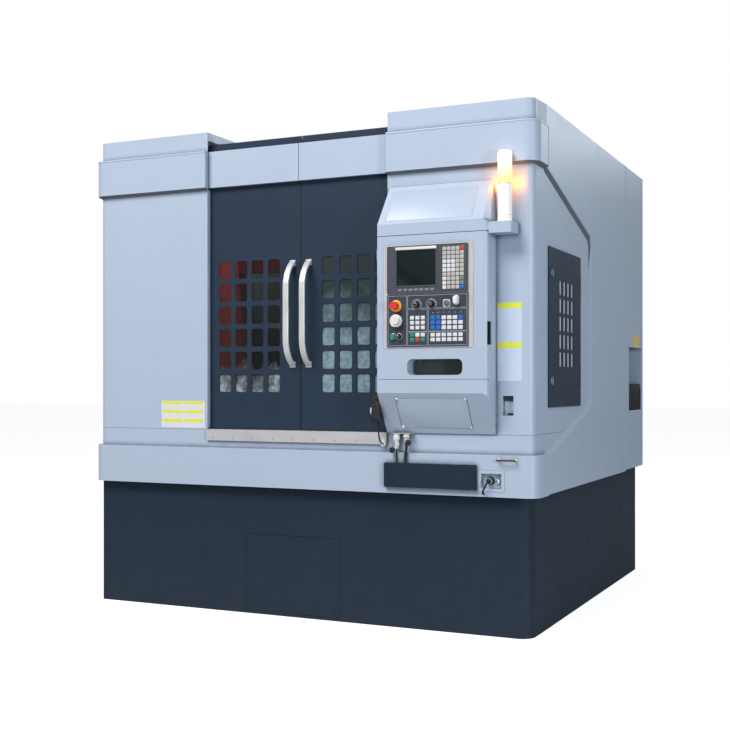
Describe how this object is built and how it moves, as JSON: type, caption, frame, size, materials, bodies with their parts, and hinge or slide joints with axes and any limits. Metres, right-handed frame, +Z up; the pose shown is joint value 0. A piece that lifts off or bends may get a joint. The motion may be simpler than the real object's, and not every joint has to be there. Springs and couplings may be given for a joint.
{
  "type": "vertical turning lathe",
  "caption": "Enclosed vertical turning lathe with sliding windowed front doors, a hinged control console, a signal lamp and a rear electrical cabinet.",
  "frame": {"origin": "centre of the machine's footprint, on the floor", "axes": "+X to the machine's right as the operator faces it, -Y towards the operator, +Z up"},
  "size_m": [2.61, 2.726, 2.6],
  "materials": {
    "panel_paint": "satin powder coat, pale blue-grey",
    "dark_paint": "fine textured dark slate",
    "stainless": "brushed stainless sheet",
    "cast_grey": "machine grey over casting",
    "frame_red": "dark red machine enamel",
    "ground_steel": "ground",
    "tool_steel": "blackened and machined",
    "handle_metal": "ribbed and satin",
    "window_glass": "clear with coolant haze",
    "panel_dark": "dark blue-grey film panel",
    "black_plastic": "moulded",
    "black_rubber": "cable jacket",
    "white_plastic": "moulded",
    "red_plastic": "moulded",
    "green_plastic": "moulded",
    "amber_lens": "ribbed translucent",
    "anodised": "satin",
    "air_unit_grey": "mixed enamel"
  },
  "bodies": {
    "machine": {"base_casing": "dark_paint", "base_access_panel": "dark_paint", "name_plate": "dark_paint", "machine_bed": "cast_grey", "levelling_feet": "ground_steel", "lower_cover": "panel_paint", "door_sill": "stainless", "left_cabinet": "panel_paint", "right_cabinet": "panel_paint", "right_side_panel": "panel_paint", "work_area_liner": "stainless", "column": "frame_red", "spindle_housing": "cast_grey", "door_rail": "ground_steel", "console_housing": "panel_paint", "console_connectors": "anodised", "signal_cable": "black_rubber", "power_cable": "black_rubber", "lamp_body": "white_plastic", "lamp_lens": "amber_lens", "socket_plate": "anodised", "plug_cord": "black_rubber", "band_handle": "stainless", "side_pocket": "air_unit_grey", "electrical_cabinet": "panel_paint", "pendant": "black_plastic", "pendant_cord": "black_rubber"},
    "left_door": {"left_door": "dark_paint", "left_door_glass": "window_glass", "left_door_band": "panel_paint", "left_handle": "handle_metal"},
    "right_door": {"right_door": "dark_paint", "right_door_glass": "window_glass", "right_door_band": "panel_paint", "right_handle": "handle_metal"},
    "vent_door": {"vent_door": "dark_paint"},
    "upper_latch": {"upper_latch": "black_plastic"},
    "lower_latch": {"lower_latch": "black_plastic"},
    "cabinet_door": {"cabinet_door": "panel_paint"},
    "console_door": {"console_door": "panel_paint", "backing_plate": "stainless", "display_unit": "panel_dark", "operator_panel": "panel_dark"},
    "estop_button": {"estop_button": "red_plastic"},
    "handwheel": {"handwheel": "white_plastic"},
    "cycle_button": {"cycle_button": "green_plastic"},
    "mode_selector": {"mode_selector": "black_plastic"},
    "feed_dial": {"feed_dial": "black_plastic"},
    "speed_dial": {"speed_dial": "black_plastic"},
    "key_switch": {"key_switch": "ground_steel"},
    "x_saddle": {"x_saddle": "cast_grey"},
    "x_screw": {"x_screw": "ground_steel"},
    "z_ram": {"z_ram": "ground_steel"},
    "z_screw": {"z_screw": "ground_steel"},
    "turret": {"turret": "tool_steel"},
    "chuck": {"chuck": "ground_steel"},
    "jaw_a": {"jaw_a": "tool_steel"},
    "jaw_b": {"jaw_b": "tool_steel"},
    "jaw_c": {"jaw_c": "tool_steel"},
    "pendant_dial": {"pendant_dial": "white_plastic"}
  },
  "joints": [
    {"name": "left_door_slide", "type": "slide", "parent": "machine", "child": "left_door", "axis": [-1, 0, 0], "range_m": [0, 0.46]},
    {"name": "right_door_slide", "type": "slide", "parent": "machine", "child": "right_door", "axis": [1, 0, 0], "range_m": [0, 0.42]},
    {"name": "vent_door_hinge", "type": "hinge", "parent": "machine", "child": "vent_door", "pos_m": [1.2828, -0.328, 1.5], "axis": [0, 0, 1], "range_deg": [0, 110]},
    {"name": "upper_latch_turn", "type": "hinge", "parent": "vent_door", "child": "upper_latch", "pos_m": [1.2853, -0.901, 1.785], "axis": [1, 0, 0], "range_deg": [0, 90]},
    {"name": "lower_latch_turn", "type": "hinge", "parent": "vent_door", "child": "lower_latch", "pos_m": [1.2853, -0.901, 1.244], "axis": [1, 0, 0], "range_deg": [0, 90]},
    {"name": "cabinet_door_hinge", "type": "hinge", "parent": "machine", "child": "cabinet_door", "pos_m": [1.244, 1.2803, 1.55], "axis": [0, 0, -1], "range_deg": [0, 100]},
    {"name": "console_door_hinge", "type": "hinge", "parent": "machine", "child": "console_door", "pos_m": [0.5095, -1.2835, 1.6], "axis": [0, 0, -1], "range_deg": [0, 100]},
    {"name": "estop_press", "type": "slide", "parent": "console_door", "child": "estop_button", "axis": [0, 1, 0], "range_m": [0, 0.005]},
    {"name": "cycle_press", "type": "slide", "parent": "console_door", "child": "cycle_button", "axis": [0, 1, 0], "range_m": [0, 0.003], "stiffness_N_per_m": 400},
    {"name": "handwheel_turn", "type": "hinge", "parent": "console_door", "child": "handwheel", "pos_m": [0.627, -1.321, 1.538], "axis": [0, 1, 0], "continuous": true},
    {"name": "mode_turn", "type": "hinge", "parent": "console_door", "child": "mode_selector", "pos_m": [0.637, -1.321, 1.461], "axis": [0, 1, 0], "range_deg": [-60, 60]},
    {"name": "feed_turn", "type": "hinge", "parent": "console_door", "child": "feed_dial", "pos_m": [0.73, -1.321, 1.615], "axis": [0, 1, 0], "range_deg": [-135, 135]},
    {"name": "speed_turn", "type": "hinge", "parent": "console_door", "child": "speed_dial", "pos_m": [0.808, -1.321, 1.616], "axis": [0, 1, 0], "range_deg": [-135, 135]},
    {"name": "key_turn", "type": "hinge", "parent": "console_door", "child": "key_switch", "pos_m": [0.886, -1.321, 1.617], "axis": [0, 1, 0], "range_deg": [0, 90]},
    {"name": "x_feed", "type": "slide", "parent": "machine", "child": "x_saddle", "axis": [1, 0, 0], "range_m": [-0.25, 0.25]},
    {"name": "x_screw_spin", "type": "hinge", "parent": "machine", "child": "x_screw", "pos_m": [0, -0.087, 1.92], "axis": [1, 0, 0], "range_deg": [-9001, 9001]},
    {"name": "z_feed", "type": "slide", "parent": "x_saddle", "child": "z_ram", "axis": [0, 0, -1], "range_m": [0, 0.38]},
    {"name": "z_screw_spin", "type": "hinge", "parent": "x_saddle", "child": "z_screw", "pos_m": [0, -0.452, 1.9], "axis": [0, 0, 1], "range_deg": [-1, 13690]},
    {"name": "turret_index", "type": "hinge", "parent": "z_ram", "child": "turret", "pos_m": [0, -0.627, 1.6], "axis": [0, 0, 1], "continuous": true},
    {"name": "spindle_spin", "type": "hinge", "parent": "machine", "child": "chuck", "pos_m": [0, -0.627, 1], "axis": [0, 0, 1], "continuous": true},
    {"name": "jaw_a_slide", "type": "slide", "parent": "chuck", "child": "jaw_a", "axis": [0, 1, 0], "range_m": [-0.03, 0.02]},
    {"name": "jaw_b_slide", "type": "slide", "parent": "chuck", "child": "jaw_b", "axis": [-0.866, -0.5, 0], "range_m": [-0.03, 0.02]},
    {"name": "jaw_c_slide", "type": "slide", "parent": "chuck", "child": "jaw_c", "axis": [0.866, -0.5, 0], "range_m": [-0.03, 0.02]},
    {"name": "pendant_dial_turn", "type": "hinge", "parent": "machine", "child": "pendant_dial", "pos_m": [0.467, -1.253, 1.093], "axis": [-1, 0, 0], "continuous": true}
  ],
  "couplings": [
    {"joint": "x_screw_spin", "follows": "x_feed", "rad_per_m": 628.32},
    {"joint": "z_screw_spin", "follows": "z_feed", "rad_per_m": 628.32},
    {"joint": "jaw_b_slide", "follows": "jaw_a_slide", "ratio": 1},
    {"joint": "jaw_c_slide", "follows": "jaw_a_slide", "ratio": 1}
  ]
}
